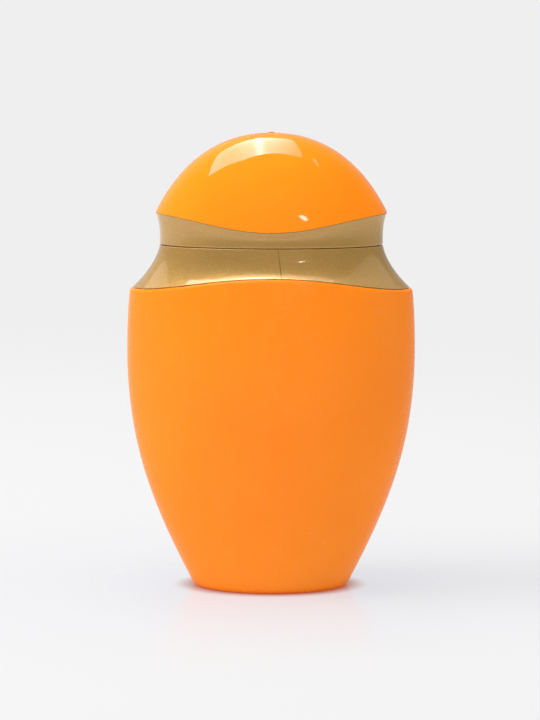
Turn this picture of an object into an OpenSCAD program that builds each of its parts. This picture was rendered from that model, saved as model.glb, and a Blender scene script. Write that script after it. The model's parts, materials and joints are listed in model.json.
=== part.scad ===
// Oval lotion bottle with a gold shoulder collar, a lift-off oval cap and a small lotion pump
// Millimetres, +Z up, origin under the middle of the foot, wide faces towards -Y and +Y

/* [Bottle] */
// Overall height, foot to top of the dome
height = 127; // [104:1:160]
// Widest part of the bottle, left to right
bottle_w = 80; // [66:0.5:96]
// Widest part of the bottle, front to back
bottle_d = 40.4; // [38:0.2:50]
// Distance from the collar's edge down to the widest part
belly_drop = 18.5; // [12:0.5:26]
// Width of the side curve where it meets the heel
base_w = 45.2; // [38:0.2:54]
// Depth of the side curve where it meets the heel
base_d = 23.5; // [20:0.1:28]
// Width of the ring that stands on the table
foot_w = 39.6; // [33:0.2:47]
// Depth of the ring that stands on the table
foot_d = 20.6; // [17:0.1:24]
// Width of the flat part of that ring
foot_land = 2.4; // [1.5:0.1:3.5]
// Height of the rounded heel
heel_h = 2; // [1.5:0.1:3]
// How far the middle of the base is pushed up
push_up = 1.5; // [0.8:0.1:2.5]
// Wall of the blow-moulded bottle
bottle_wall = 1.2; // [0.8:0.1:1.6]
// Height of the small rounded shoulder beside the collar
shoulder_h = 1.6; // [1:0.1:2.4]
// How far the shoulder stands out past the collar
shoulder_step = 0.9; // [0.6:0.1:1.4]

/* [Neck] */
// Wall of the neck
neck_wall = 1.6; // [1.2:0.1:2]
// Gap between the mouth and the pump's housing
mouth_gap = 1.1; // [0.6:0.1:1.4]
// Height of the neck above the bottle's deck
neck_h = 11; // [9:0.5:14]
// How far the snap bead stands out from the neck
bead_out = 0.8; // [0.5:0.05:1]
// Height of the snap bead
bead_h = 1.6; // [1.2:0.1:2.2]
// Distance from the mouth down to the snap bead
bead_drop = 3.8; // [3:0.1:4.4]

/* [Collar] */
// Height of the collar, from its ends up to the parting line
collar_h = 11.9; // [10:0.1:15]
// How far the collar's lower edge rises in the middle of the wide faces
collar_arch = 4.1; // [2:0.1:5.5]
// How narrow that rise is: 2 spreads it from end to end, more leaves the ends level
arch_power = 3.5; // [2:0.5:4]
// How soon that rise fades on the way up the skin: 0 late, 1 at once
arch_fade = 1; // [0:0.05:1]
// Wall of the flared skin
collar_wall = 1.3; // [1:0.1:1.8]
// Wall of the upstand that the cap slides over
upstand_wall = 1.3; // [1:0.1:1.8]
// Height of the upstand above the parting line
upstand_h = 4.8; // [3.5:0.1:6]
// Depth of the collar's cup below the parting line
cup_drop = 4; // [3:0.1:5]
// Thickness of the web that the closure holds down
web_t = 1.4; // [1:0.1:2]
// Gap between the collar's edge and the bottle
edge_gap = 0.2; // [0.1:0.05:0.4]

/* [Cap] */
// Width of the cap at the parting line
seam_w = 61.6; // [51:0.2:70]
// Open line between cap and collar
parting_gap = 0.3; // [0.2:0.05:0.5]
// How far the cap flares out at the edge of the dome
dome_flare = 1.1; // [0.6:0.1:1.6]
// Height of the dome's edge above the parting line, at the ends
dome_edge_h = 9; // [7:0.1:11]
// How far the dome's edge dips in the middle of the wide faces
dome_dip = 4.6; // [2:0.1:5]
// Half length of the dip
dip_reach = 36; // [34:0.5:44]
// Wall of the dome
dome_wall = 1.5; // [1.2:0.1:1.8]
// Wall of the gold skirt
skirt_wall = 1.4; // [1.1:0.1:1.8]
// Wall of the inner ring that grips the upstand
liner_wall = 0.9; // [0.7:0.1:1.3]
// Height of that ring
liner_h = 5.6; // [4.6:0.1:6.4]
// Clearance between the ring and the upstand
cap_fit = 0.08; // [0.05:0.01:0.12]
// Fine line between dome and skirt
dome_line = 0.12; // [0.08:0.01:0.2]
// Diameter of the gate mark on top of the dome
gate_d = 1.6; // [1:0.1:2.4]
// Height of the gate mark
gate_h = 0.25; // [0.15:0.05:0.4]

/* [Closure] */
// Wall of the press-on closure
closure_wall = 1.5; // [1.2:0.1:2]
// How far the grip ribs stand out from it
rib_out = 0.35; // [0.2:0.05:0.5]
// Width of a grip rib
rib_w = 0.9; // [0.6:0.1:1.1]
// Clearance of the closure round the neck's bead, and of the web round it
closure_fit = 0.15; // [0.1:0.01:0.25]
// Top plate of the closure
closure_top = 1.4; // [1.1:0.1:2]
// Gap between the closure and the collar's upstand
closure_gap = 0.5; // [0.35:0.05:0.8]
// Number of grip ribs round the closure
rib_count = 36; // [24:4:48]
// Thickness of the gasket on the mouth
gasket_t = 1; // [0.7:0.1:1.4]

/* [Pump] */
// Bore of the pump housing, from which the neck, the closure and the cap's depth follow
housing_bore = 10; // [9.4:0.1:12]
// Wall of the pump housing
housing_wall = 1.3; // [1:0.1:1.6]
// Length of the housing below its flange
housing_l = 23; // [21:0.5:28]
// Thickness of the housing's flange
flange_t = 1.2; // [0.9:0.1:1.6]
// Height of the stem guide above the closure
guide_h = 2.4; // [1.8:0.1:3.4]
// Wall of the stem guide above the closure
guide_wall = 2.34; // [1.8:0.02:2.6]
// Outer diameter of the stem
stem_d = 4.6; // [3.8:0.1:5.4]
// Channel through the stem
stem_bore = 2.4; // [1.6:0.1:2.6]
// Stroke of the pump
stroke = 4; // [3:0.1:4.8]
// Free height left under the pressed head
press_rest = 0.5; // [0.3:0.1:1]
// Running clearance of the stem in its guide
stem_fit = 0.06; // [0.04:0.01:0.09]
// Running clearance of the piston in the bore and on the stem
piston_fit = 0.05; // [0.03:0.01:0.08]
// Height of the piston
piston_h = 4; // [3:0.1:5]
// Lost motion of the piston on the stem, which opens the outlet
piston_shift = 0.6; // [0.4:0.1:0.9]
// Diameter of the inlet ball
ball_d = 3; // [2.5:0.1:3.5]
// How far the inlet ball can lift
ball_lift = 0.8; // [0.5:0.1:1.2]
// Bore of the dip tube
tube_bore = 2.2; // [1.8:0.1:2.6]
// Wall of the dip tube
tube_wall = 0.5; // [0.4:0.05:0.7]
// Depth of the dip tube in its socket
tube_grip = 4.5; // [3.5:0.1:6]
// Height left between the dip tube and the bottle's floor
tube_lift = 1.2; // [0.8:0.1:2]
// Wire of the return spring
wire_d = 0.6; // [0.5:0.05:0.7]
// Mean diameter of the return spring
coil_d = 6.8; // [6:0.1:7.4]
// Turns of the return spring
coil_turns = 5; // [4:1:6]

/* [Head] */
// Diameter of the pump head
head_d = 13; // [11:0.1:16]
// Height of the pump head
head_h = 7.5; // [6.5:0.1:9]
// Depth of the finger dish on top
dish = 0.8; // [0.4:0.1:1.2]
// Depth of the socket that the stem goes into
socket_h = 3.5; // [3:0.1:3.8]
// Clearance of the head on the stem
head_fit = 0.03; // [0.02:0.01:0.05]
// How much shorter than the closure's radius the nozzle reaches
nozzle_inset = 2.8; // [1.4:0.1:3.4]
// Outer diameter of the nozzle
nozzle_d = 4.4; // [4:0.1:4.8]
// Diameter of the orifice
orifice_d = 1.2; // [0.8:0.1:1.6]
// Length of the insert in the nozzle
insert_l = 2; // [1.4:0.1:2.6]
// Free height between the head and the dome
top_gap = 5.5; // [4:0.1:7]

/* [Detail] */
// Sides of the oval shells
oval_sides = 64; // [48:8:80]
// Sides of round parts
round_sides = 64; // [32:8:96]

/* [Hidden] */

// A small overlap for cuts that pass through a face
cut = 0.5;
$fn = round_sides;

// Round parts, from the pump's bore outwards: the cap's depth follows from the pump that it covers
housing_r = housing_bore / 2 + housing_wall;
mouth_r = housing_r + mouth_gap;
neck_r = mouth_r + neck_wall;
bead_r = neck_r + bead_out;
closure_in_r = bead_r + closure_fit;
skin_r = closure_in_r + closure_wall;
closure_r = skin_r + rib_out;
upstand_in_b = closure_r + closure_gap;
upstand_out_b = upstand_in_b + upstand_wall;
liner_in_b = upstand_out_b + cap_fit;
skirt_in_b = liner_in_b + liner_wall;
seam_b = skirt_in_b + skirt_wall;
seam_a = seam_w / 2;
skirt_in_a = seam_a - skirt_wall;
liner_in_a = skirt_in_a - liner_wall;
upstand_out_a = liner_in_a - cap_fit;
upstand_in_a = upstand_out_a - upstand_wall;

// Heights of the pump above the parting line, and from them the height of the cap
web_top = -cup_drop;
deck = web_top - web_t;
land = deck + neck_h;
flange_bottom = land + gasket_t;
flange_top = flange_bottom + flange_t;
closure_face = flange_top + closure_top;
guide_top = closure_face + guide_h;
head_bottom = guide_top + stroke + press_rest;
head_top = head_bottom + head_h;
cap_h = head_top + top_gap + dome_wall;

// Heights in the part's own frame
seam_z = height - cap_h;
edge_z = seam_z - collar_h;
belly_z = edge_z - belly_drop;
dome_edge_z = seam_z + dome_edge_h;
deck_z = seam_z + deck;
web_top_z = seam_z + web_top;
land_z = seam_z + land;
flange_z = seam_z + flange_bottom;
flange_top_z = seam_z + flange_top;
closure_face_z = seam_z + closure_face;
guide_top_z = seam_z + guide_top;
head_z = seam_z + head_bottom;

// Half sizes of the ovals
bottle_a = bottle_w / 2;
bottle_b = bottle_d / 2;
base_a = base_w / 2;
base_b = base_d / 2;
foot_a = foot_w / 2;
foot_b = foot_d / 2;
shoulder_tuck = 0.8;
shoulder_a = bottle_a - shoulder_tuck;
shoulder_b = bottle_b - shoulder_tuck;
collar_a = shoulder_a - shoulder_step;
collar_b = shoulder_b - shoulder_step;
dome_a = seam_a + dome_flare;
dome_b = seam_b + dome_flare;
bead_z = land_z - bead_drop;
deck_out = 2.4;
deck_r = neck_r + deck_out;

// Pump heights, down from the housing's flange
housing_z = flange_z - housing_l;
housing_floor = 2.2;
chamber_z = housing_z + housing_floor;
inlet_r = 1;
ball_r = ball_d / 2;
seat_h = 1;
seat_z = chamber_z - seat_h;
seat_out = 0.6;
seat_top_r = ball_r + seat_out;
seat_slope = (seat_top_r - inlet_r) / seat_h;
// The ball rests on its cone, and stops under the plate, with a hair of clearance
ball_hair = 0.03;
plate_hair = 0.05;
ball_z = seat_z + ball_r * sqrt(1 + pow(seat_slope, 2)) / seat_slope - inlet_r / seat_slope + ball_hair;
seat_plate_z = ball_z + ball_r + ball_lift + plate_hair;
seat_plate_t = 0.8;
spring_z = seat_plate_z + seat_plate_t;
guide_sink = 1.5;
piston_rest = 0.3;
piston_top_z = flange_z - guide_sink - piston_rest - piston_shift;
piston_z = piston_top_z - piston_h;
tip_h = 2.2;
tip_grip = 1.2;
tip_gap = 1;
tip_r = housing_bore / 2 - tip_gap;
tip_z = piston_z - piston_fit - tip_h;
spring_h = tip_z - spring_z;
stem_r = stem_d / 2;
guide_r = stem_r + stem_fit + guide_wall;
tube_r = tube_bore / 2 + tube_wall;
tail_wall = 1;
tail_r = tube_r + tail_wall;
tail_z = housing_z - tube_grip;
tube_stop = 0.2;
tube_top_z = housing_z - tube_stop;
tube_bottom_z = push_up + bottle_wall + tube_lift;

// Curves through [half width, half depth, height], as cubic Bezier control points
heel_curve = [
    [foot_a, foot_b, 0],
    [foot_a + (base_a - foot_a) * 0.65, foot_b + (base_b - foot_b) * 0.65, 0],
    [base_a - 0.5 * heel_h / 2, base_b - 0.26 * heel_h / 2, heel_h / 2],
    [base_a, base_b, heel_h]
];
lower_curve = [
    [base_a, base_b, heel_h],
    [base_a + (bottle_a - base_a) * 0.59, base_b + (bottle_b - base_b) * 0.59, heel_h + belly_z * 0.31],
    [bottle_a, bottle_b, belly_z * 0.606],
    [bottle_a, bottle_b, belly_z]
];
shoulder_z = edge_z - shoulder_h + edge_gap;
upper_curve = [
    [bottle_a, bottle_b, belly_z],
    [bottle_a, bottle_b, belly_z + (shoulder_z - belly_z) * 0.42],
    [shoulder_a + 0.45, shoulder_b + 0.25, belly_z + (shoulder_z - belly_z) * 0.78],
    [shoulder_a, shoulder_b, shoulder_z]
];
round_curve = [
    [shoulder_a, shoulder_b, shoulder_z],
    [shoulder_a - 0.1, shoulder_b - 0.1, edge_z - 0.4],
    [collar_a + 0.35, collar_b + 0.35, edge_z],
    [collar_a - 0.2, collar_b - 0.2, edge_z]
];
collar_curve = [
    [collar_a, collar_b, edge_z + edge_gap],
    [seam_a + (collar_a - seam_a) * 0.45, seam_b + (collar_b - seam_b) * 0.45, edge_z + collar_h * 0.34],
    [seam_a + (collar_a - seam_a) * 0.08, seam_b + (collar_b - seam_b) * 0.08, edge_z + collar_h * 0.69],
    [seam_a, seam_b, seam_z]
];
skirt_curve = [
    [seam_a, seam_b, seam_z + parting_gap],
    [seam_a - 0.15, seam_b - 0.15, seam_z + dome_edge_h * 0.4],
    [seam_a + dome_flare * 0.05, seam_b + dome_flare * 0.05, seam_z + dome_edge_h * 0.75],
    [dome_a - 0.1, dome_b - 0.1, dome_edge_z - dome_line]
];
dome_curve = [
    [dome_a, dome_b, dome_edge_z],
    [dome_a * 0.843, dome_b * 0.92, dome_edge_z + (height - dome_edge_z) * 0.463],
    [dome_a * 0.55, dome_b * 0.66, height],
    [0, 0, height]
];

// A point on a cubic Bezier curve
function bezier(c, t) =
    pow(1 - t, 3) * c[0] + 3 * t * pow(1 - t, 2) * c[1] + 3 * t * t * (1 - t) * c[2] + pow(t, 3) * c[3];

// A smooth step from 0 to 1
function smooth(t) = t * t * (3 - 2 * t);

// Rise of the collar's edge at an angle round the oval: a bow on each wide face that dies away at the ends
function arch_at(angle) = collar_arch * pow(abs(sin(angle)), arch_power);

// Dip of the dome's edge at an angle round the oval: a cosine wave
function dip_at(angle) = dome_dip * (1 + cos(180 * dome_a * cos(angle) / dip_reach)) / 2;

// A ring of points: half width, half depth, height, share of the arch, share of the dip
function ring(a, b, z, arch = 0, dip = 0) = [
    for (i = [0 : oval_sides - 1])
        let (angle = 360 * i / oval_sides)
        [a * cos(angle), b * sin(angle), z + arch * arch_at(angle) - dip * dip_at(angle)]
];

// Mean height of a ring, for the middle point of its closing fan
function mean_z(points) = [for (p = points) p[2]] * [for (p = points) 1] / len(points);

// A closed solid through a stack of rings, lowest first
module loft(rings) {
    sides = oval_sides;
    count = len(rings);
    last = count - 1;
    points = concat(
        [for (r = rings) each r],
        [[0, 0, mean_z(rings[0])], [0, 0, mean_z(rings[last])]]
    );
    walls = [
        for (j = [0 : last - 1], i = [0 : sides - 1])
            let (k = (i + 1) % sides, low = j * sides, high = low + sides)
            each [[low + i, high + i, high + k], [low + i, high + k, low + k]]
    ];
    bottom = [for (i = [0 : sides - 1]) [count * sides, i, (i + 1) % sides]];
    top = [for (i = [0 : sides - 1]) [count * sides + 1, last * sides + (i + 1) % sides, last * sides + i]];
    polyhedron(points = points, faces = concat(walls, bottom, top), convexity = 6);
}

// Rings along a curve, moved inwards by an inset, with the lift and the shares of arch and dip at its two ends
function rings_along(curve, steps, inset = 0, arch = [0, 0], dip = [0, 0], lift = [0, 0], from = 0, fade = 0) = [
    for (s = [from : steps])
        let (t = s / steps, p = bezier(curve, t), share = fade * t * (2 - t) + (1 - fade) * smooth(t))
        ring(
            max(p[0] - inset, 0.05), max(p[1] - inset, 0.05), p[2] + lift[0] + (lift[1] - lift[0]) * t,
            arch[0] + (arch[1] - arch[0]) * share,
            dip[0] + (dip[1] - dip[0]) * share
        )
];

// An oval disc with straight sides
module oval_disc(a, b, z0, z1) {
    loft([ring(a, b, z0), ring(a, b, z1)]);
}

// A round tube
module tube(outer_r, inner_r, z0, z1) {
    translate([0, 0, z0]) difference() {
        cylinder(r = outer_r, h = z1 - z0);
        translate([0, 0, -cut]) cylinder(r = inner_r, h = z1 - z0 + 2 * cut);
    }
}

// The bottle's hidden shoulder, from a ledge under the collar's edge up to its round deck under the web
ledge_past = 1.3;
ledge_in = collar_wall + ledge_past;
// The ledge falls inwards by this much, so that it clears the collar's underside all along the bow
ledge_fall = 0.3;
function deck_rings(inset) = [
    for (s = [0 : 4])
        let (t = s / 4, a0 = collar_a - ledge_in, b0 = collar_b - ledge_in, rise = deck_z - edge_z)
        ring(
            a0 + (deck_r - a0) * t - inset, b0 + (deck_r - b0) * t - inset,
            edge_z + rise * t - ledge_fall * (1 - t) - inset, 1 - t
        )
];

module bottle() {
    base_slope = 2;
    color([0.98, 0.5, 0.1]) difference() {
        union() {
            loft(concat(
                [ring(foot_a - foot_land - base_slope, foot_b - foot_land - base_slope / 2, push_up)],
                [ring(foot_a - foot_land, foot_b - foot_land, 0)],
                rings_along(heel_curve, 3),
                rings_along(lower_curve, 10, from = 1),
                rings_along(upper_curve, 4, arch = [0, 1], from = 1),
                rings_along(round_curve, 3, arch = [1, 1], from = 1),
                deck_rings(0)
            ));
            translate([0, 0, deck_z - 1]) cylinder(r = neck_r, h = neck_h + 1);
            rotate_extrude() polygon([
                [neck_r - cut, bead_z - bead_h],
                [neck_r, bead_z - bead_h],
                [neck_r + bead_out, bead_z - bead_h * 0.8],
                [neck_r + bead_out, bead_z - bead_h * 0.5],
                [neck_r, bead_z],
                [neck_r - cut, bead_z]
            ]);
        }
        loft(concat(
            [ring(foot_a - foot_land, foot_b - foot_land, push_up + bottle_wall)],
            rings_along(lower_curve, 8, inset = bottle_wall, lift = [bottle_wall, 0]),
            rings_along(upper_curve, 3, inset = bottle_wall, lift = [0, -bottle_wall], arch = [0, 1], from = 1),
            deck_rings(bottle_wall)
        ));
        translate([0, 0, deck_z - 2 * bottle_wall - 1]) cylinder(r = mouth_r, h = neck_h + 6);
    }
}

module shoulder_collar() {
    color([0.72, 0.57, 0.33]) difference() {
        union() {
            difference() {
                loft(rings_along(collar_curve, 6, arch = [1, 0], fade = arch_fade));
                loft(concat(
                    [ring(collar_a - collar_wall, collar_b - collar_wall, edge_z - 1, 1)],
                    rings_along(
                        collar_curve, 5, inset = collar_wall, lift = [0, -collar_wall],
                        arch = [1, 0], from = 1, fade = arch_fade
                    )
                ));
            }
            oval_disc(upstand_out_a, upstand_out_b, deck_z, seam_z + upstand_h);
        }
        oval_disc(upstand_in_a, upstand_in_b, web_top_z, seam_z + upstand_h + cut);
        translate([0, 0, deck_z - cut]) cylinder(r = closure_in_r, h = web_t + 2 * cut);
    }
}

module cap_dome() {
    color([0.98, 0.55, 0.12]) {
        difference() {
            loft(rings_along(dome_curve, 12, dip = [1, 0]));
            loft(concat(
                [ring(dome_a - dome_wall, dome_b - dome_wall, dome_edge_z - 1, 0, 1)],
                rings_along(dome_curve, 10, inset = dome_wall, lift = [0, -dome_wall], dip = [1, 0], from = 1)
            ));
        }
        translate([0, 0, height - 0.2]) cylinder(d = gate_d, h = gate_h + 0.2);
    }
}

module cap_skirt() {
    color([0.75, 0.6, 0.35]) difference() {
        loft(rings_along(skirt_curve, 6, dip = [0, 1]));
        oval_disc(skirt_in_a, skirt_in_b, seam_z - cut, dome_edge_z + 1);
    }
}

module cap_liner() {
    color([0.93, 0.93, 0.9]) difference() {
        oval_disc(skirt_in_a, skirt_in_b, seam_z + parting_gap + 0.2, seam_z + parting_gap + liner_h);
        oval_disc(liner_in_a, liner_in_b, seam_z, seam_z + parting_gap + liner_h + cut);
    }
}

module pump_closure() {
    ring_top = bead_z - bead_h - 0.1;
    ring_h = 1.9;
    ring_sink = 0.3;
    rib_low = 1;
    rib_high = 1.2;
    rib_sink = 0.4;
    guide_gap = 0.6;
    color([0.96, 0.96, 0.95]) difference() {
        union() {
            translate([0, 0, web_top_z]) cylinder(r = skin_r, h = closure_face_z - web_top_z);
            for (i = [0 : rib_count - 1]) rotate(360 * i / rib_count)
                translate([skin_r - rib_sink, -rib_w / 2, web_top_z + rib_low])
                cube([rib_sink + rib_out - 0.05, rib_w, closure_face_z - web_top_z - rib_low - rib_high]);
        }
        translate([0, 0, web_top_z - cut]) cylinder(r = closure_in_r, h = flange_top_z - web_top_z + cut);
        translate([0, 0, flange_z]) cylinder(r = guide_r + guide_gap, h = flange_t + closure_top + cut);
    }
    // The snap ring under the neck's bead
    color([0.96, 0.96, 0.95]) tube(closure_in_r + ring_sink, neck_r + closure_fit, ring_top - ring_h, ring_top);
}

module neck_gasket() {
    gasket_fit = 0.1;
    color([0.85, 0.85, 0.83]) tube(neck_r, housing_r + gasket_fit, land_z, flange_z);
}

module pump_housing() {
    color([0.95, 0.95, 0.93]) difference() {
        union() {
            translate([0, 0, flange_z]) cylinder(r = neck_r, h = flange_t);
            translate([0, 0, housing_z]) cylinder(r = housing_r, h = housing_l + flange_t);
            translate([0, 0, tail_z]) cylinder(r = tail_r, h = tube_grip + 1);
        }
        translate([0, 0, chamber_z]) cylinder(d = housing_bore, h = housing_l + flange_t);
        // The cone that the inlet ball closes
        translate([0, 0, seat_z]) cylinder(r1 = inlet_r, r2 = seat_top_r, h = chamber_z - seat_z);
        translate([0, 0, housing_z - 1]) cylinder(r = inlet_r, h = housing_floor + 1);
        translate([0, 0, tail_z - cut]) cylinder(r = tube_r, h = tube_grip + cut);
    }
}

module stem_guide() {
    color([0.96, 0.96, 0.95]) difference() {
        union() {
            translate([0, 0, flange_z - guide_sink]) cylinder(d = housing_bore, h = flange_t + guide_sink);
            translate([0, 0, flange_top_z]) cylinder(r = guide_r, h = closure_top + guide_h);
        }
        translate([0, 0, flange_z - guide_sink - cut])
            cylinder(r = stem_r + stem_fit, h = guide_top_z - flange_z + guide_sink + 2 * cut);
    }
}

module dip_tube() {
    color([0.9, 0.92, 0.9]) difference() {
        tube(tube_r, tube_bore / 2, tube_bottom_z, tube_top_z);
        // The slanted end that keeps the floor from closing the tube
        translate([-2 * tube_r, -2 * tube_r, tube_bottom_z]) rotate([0, 30, 0])
            translate([-4 * tube_r, 0, -4 * tube_r]) cube([8 * tube_r, 4 * tube_r, 4 * tube_r]);
    }
}

module inlet_ball() {
    color([0.8, 0.8, 0.82]) translate([0, 0, ball_z]) sphere(r = ball_r);
}

module spring_seat() {
    flow_r = 0.6;
    flow_ring_r = 1.9;
    color([0.9, 0.9, 0.88]) difference() {
        translate([0, 0, seat_plate_z]) cylinder(d = housing_bore, h = seat_plate_t);
        translate([0, 0, seat_plate_z - cut]) cylinder(r = flow_r, h = seat_plate_t + 2 * cut);
        for (i = [0 : 3]) rotate(90 * i + 45) translate([flow_ring_r, 0, seat_plate_z - cut])
            cylinder(r = flow_r, h = seat_plate_t + 2 * cut);
    }
}

// One unbroken wire along a helix, with flat rings of points across it
module return_spring() {
    steps = 14;
    sides = 6;
    turns_total = coil_turns;
    count = steps * turns_total;
    rise = spring_h - wire_d - 0.1;
    points = [
        for (s = [0 : count])
            let (angle = 360 * s / steps, z = spring_z + wire_d / 2 + 0.05 + rise * s / count)
            for (k = [0 : sides - 1])
                let (r = coil_d / 2 + wire_d / 2 * cos(360 * k / sides))
                [r * cos(angle), r * sin(angle), z + wire_d / 2 * sin(360 * k / sides)]
    ];
    walls = [
        for (s = [0 : count - 1], k = [0 : sides - 1])
            let (n = (k + 1) % sides, low = s * sides, high = low + sides)
            each [[low + k, high + n, high + k], [low + k, low + n, high + n]]
    ];
    start = [[for (k = [0 : sides - 1]) sides - 1 - k]];
    finish = [[for (k = [0 : sides - 1]) count * sides + k]];
    color([0.75, 0.76, 0.78]) polyhedron(points = points, faces = concat(walls, start, finish), convexity = 8);
}

// The stem stands in the tip and ends at the bottom of the head's socket
stem_bottom_z = tip_z + tip_h - tip_grip;
stem_top_z = head_z + socket_h;
module pump_stem() {
    plug_h = 0.6;
    cross_d = 1.2;
    color([0.95, 0.95, 0.94]) difference() {
        translate([0, 0, stem_bottom_z]) cylinder(r = stem_r, h = stem_top_z - stem_bottom_z);
        translate([0, 0, tip_z + tip_h + plug_h])
            cylinder(d = stem_bore, h = stem_top_z - tip_z - tip_h - plug_h + cut);
        // The cross holes that the piston covers at rest
        translate([0, 0, piston_z + plug_h + cross_d / 2]) rotate([90, 0, 0])
            cylinder(d = cross_d, h = stem_d + 2, center = true);
    }
}

module stem_tip() {
    notch_r = 0.9;
    notch_out = 0.2;
    color([0.9, 0.9, 0.88]) difference() {
        translate([0, 0, tip_z]) cylinder(r = tip_r, h = tip_h);
        translate([0, 0, stem_bottom_z]) cylinder(r = stem_r, h = tip_grip + cut);
        for (i = [0 : 3]) rotate(90 * i) translate([tip_r + notch_out, 0, tip_z - cut])
            cylinder(r = notch_r, h = tip_h + 2 * cut);
    }
}

module pump_piston() {
    bore_r = stem_r + piston_fit;
    lip_r = housing_bore / 2 - piston_fit;
    color([0.88, 0.9, 0.9]) rotate_extrude() polygon([
        [bore_r, piston_z],
        [lip_r - 0.9, piston_z],
        [lip_r, piston_z - 0.4],
        [lip_r, piston_z + 0.6],
        [lip_r - 0.7, piston_z + 1.4],
        [lip_r - 0.7, piston_top_z - 1.2],
        [lip_r, piston_top_z - 0.5],
        [lip_r, piston_top_z],
        [lip_r - 0.8, piston_top_z],
        [lip_r - 1.2, piston_top_z - 0.6],
        [bore_r, piston_top_z - 0.6]
    ]);
}

nozzle_reach = closure_r - nozzle_inset;
nozzle_z = head_z + nozzle_d / 2 + 0.2;
insert_d = nozzle_d - 1.4;
module pump_head() {
    edge_r = 1.2;
    dish_rim = 0.4;
    head_wall = 1.2;
    socket_wall = 1.1;
    hollow_h = socket_h - 1;
    channel_d = 1.8;
    channel_rise = 1.4;
    rim_r = head_d / 2 - edge_r;
    dish_r = rim_r - dish_rim;
    color([0.97, 0.97, 0.96]) difference() {
        union() {
            translate([0, 0, head_z]) rotate_extrude() polygon(concat(
                [[0, 0], [head_d / 2, 0]],
                [for (t = [0 : 15 : 90]) [rim_r + edge_r * cos(t), head_h - edge_r + edge_r * sin(t)]],
                [for (t = [18 : 18 : 90]) [dish_r * cos(t), head_h - dish * sin(t)]]
            ));
            translate([0, 0, nozzle_z]) rotate([-90, 0, 0]) cylinder(d = nozzle_d, h = nozzle_reach);
        }
        translate([0, 0, head_z - cut]) cylinder(r = stem_r + head_fit, h = socket_h + cut);
        translate([0, 0, head_z]) cylinder(d = stem_bore, h = socket_h + channel_rise);
        // The hollow under the head
        difference() {
            translate([0, 0, head_z - cut]) cylinder(r = head_d / 2 - head_wall, h = hollow_h + cut);
            translate([0, 0, head_z - cut]) cylinder(r = stem_r + socket_wall, h = socket_h + cut);
            translate([-nozzle_d / 2, 0, head_z - cut]) cube([nozzle_d, head_d, head_h]);
        }
        translate([0, 0, nozzle_z]) rotate([-90, 0, 0]) cylinder(d = channel_d, h = nozzle_reach + cut);
        translate([0, nozzle_reach - insert_l, nozzle_z]) rotate([-90, 0, 0])
            cylinder(d = insert_d, h = insert_l + cut);
    }
}

module nozzle_insert() {
    color([0.9, 0.9, 0.9]) translate([0, nozzle_reach - insert_l, nozzle_z]) rotate([-90, 0, 0]) difference() {
        cylinder(d = insert_d, h = insert_l);
        translate([0, 0, -cut]) cylinder(d = orifice_d, h = insert_l + 2 * cut);
    }
}

bottle();
shoulder_collar();
cap_dome();
cap_skirt();
cap_liner();
pump_closure();
neck_gasket();
pump_housing();
stem_guide();
dip_tube();
inlet_ball();
spring_seat();
return_spring();
pump_stem();
stem_tip();
pump_piston();
pump_head();
nozzle_insert();
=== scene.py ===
# %% [markdown]
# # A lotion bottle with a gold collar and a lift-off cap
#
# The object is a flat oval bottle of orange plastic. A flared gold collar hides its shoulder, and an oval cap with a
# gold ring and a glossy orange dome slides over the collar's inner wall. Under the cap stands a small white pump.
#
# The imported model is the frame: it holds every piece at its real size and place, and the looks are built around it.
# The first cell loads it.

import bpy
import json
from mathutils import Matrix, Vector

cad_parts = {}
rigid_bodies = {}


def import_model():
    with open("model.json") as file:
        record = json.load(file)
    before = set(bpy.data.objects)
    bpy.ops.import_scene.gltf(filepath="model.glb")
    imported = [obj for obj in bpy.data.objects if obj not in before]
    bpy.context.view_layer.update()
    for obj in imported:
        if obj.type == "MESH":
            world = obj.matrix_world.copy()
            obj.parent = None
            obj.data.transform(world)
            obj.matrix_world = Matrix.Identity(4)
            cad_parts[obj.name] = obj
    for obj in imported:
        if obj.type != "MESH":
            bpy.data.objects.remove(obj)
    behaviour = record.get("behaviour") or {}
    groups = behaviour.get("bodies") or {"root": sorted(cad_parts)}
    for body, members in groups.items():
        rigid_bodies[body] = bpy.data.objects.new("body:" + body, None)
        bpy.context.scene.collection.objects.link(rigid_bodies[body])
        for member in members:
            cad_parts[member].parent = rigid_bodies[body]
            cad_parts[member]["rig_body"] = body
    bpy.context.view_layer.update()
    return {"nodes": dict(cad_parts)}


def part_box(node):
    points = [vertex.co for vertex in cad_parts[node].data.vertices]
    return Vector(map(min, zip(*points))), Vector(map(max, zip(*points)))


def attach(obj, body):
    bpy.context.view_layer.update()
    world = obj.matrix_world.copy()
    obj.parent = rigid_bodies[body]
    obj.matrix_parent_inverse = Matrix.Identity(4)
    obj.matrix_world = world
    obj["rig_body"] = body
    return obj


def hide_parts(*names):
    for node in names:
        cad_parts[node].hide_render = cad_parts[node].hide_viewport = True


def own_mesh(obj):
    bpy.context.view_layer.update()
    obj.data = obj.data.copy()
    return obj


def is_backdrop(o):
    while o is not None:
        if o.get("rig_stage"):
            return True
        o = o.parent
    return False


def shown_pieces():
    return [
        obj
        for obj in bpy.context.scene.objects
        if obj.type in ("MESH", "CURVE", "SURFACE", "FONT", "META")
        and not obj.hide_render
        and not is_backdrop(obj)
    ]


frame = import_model()

# %% [markdown]
# ## Sizes
#
# A bottle like this is drawn in millimetres, and Blender measures in metres. The script thinks in millimetres and
# changes the unit once, when a mesh is finished.
#
# Sizes that are typed in twice drift apart, so the outer sizes and the heights are read from the frame's own boxes.
# Only walls, gaps and the bow of each edge, which no box shows, are written as values. The frame keeps its pieces a
# few tenths of a millimetre apart, so that nothing rubs. The real gold edges sit closer, so SEEN_PARTING and SEEN_EDGE
# are the finer lines that the finished shells show there.

# %% Read the driving sizes from the frame
import math

MM = 0.001


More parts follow.
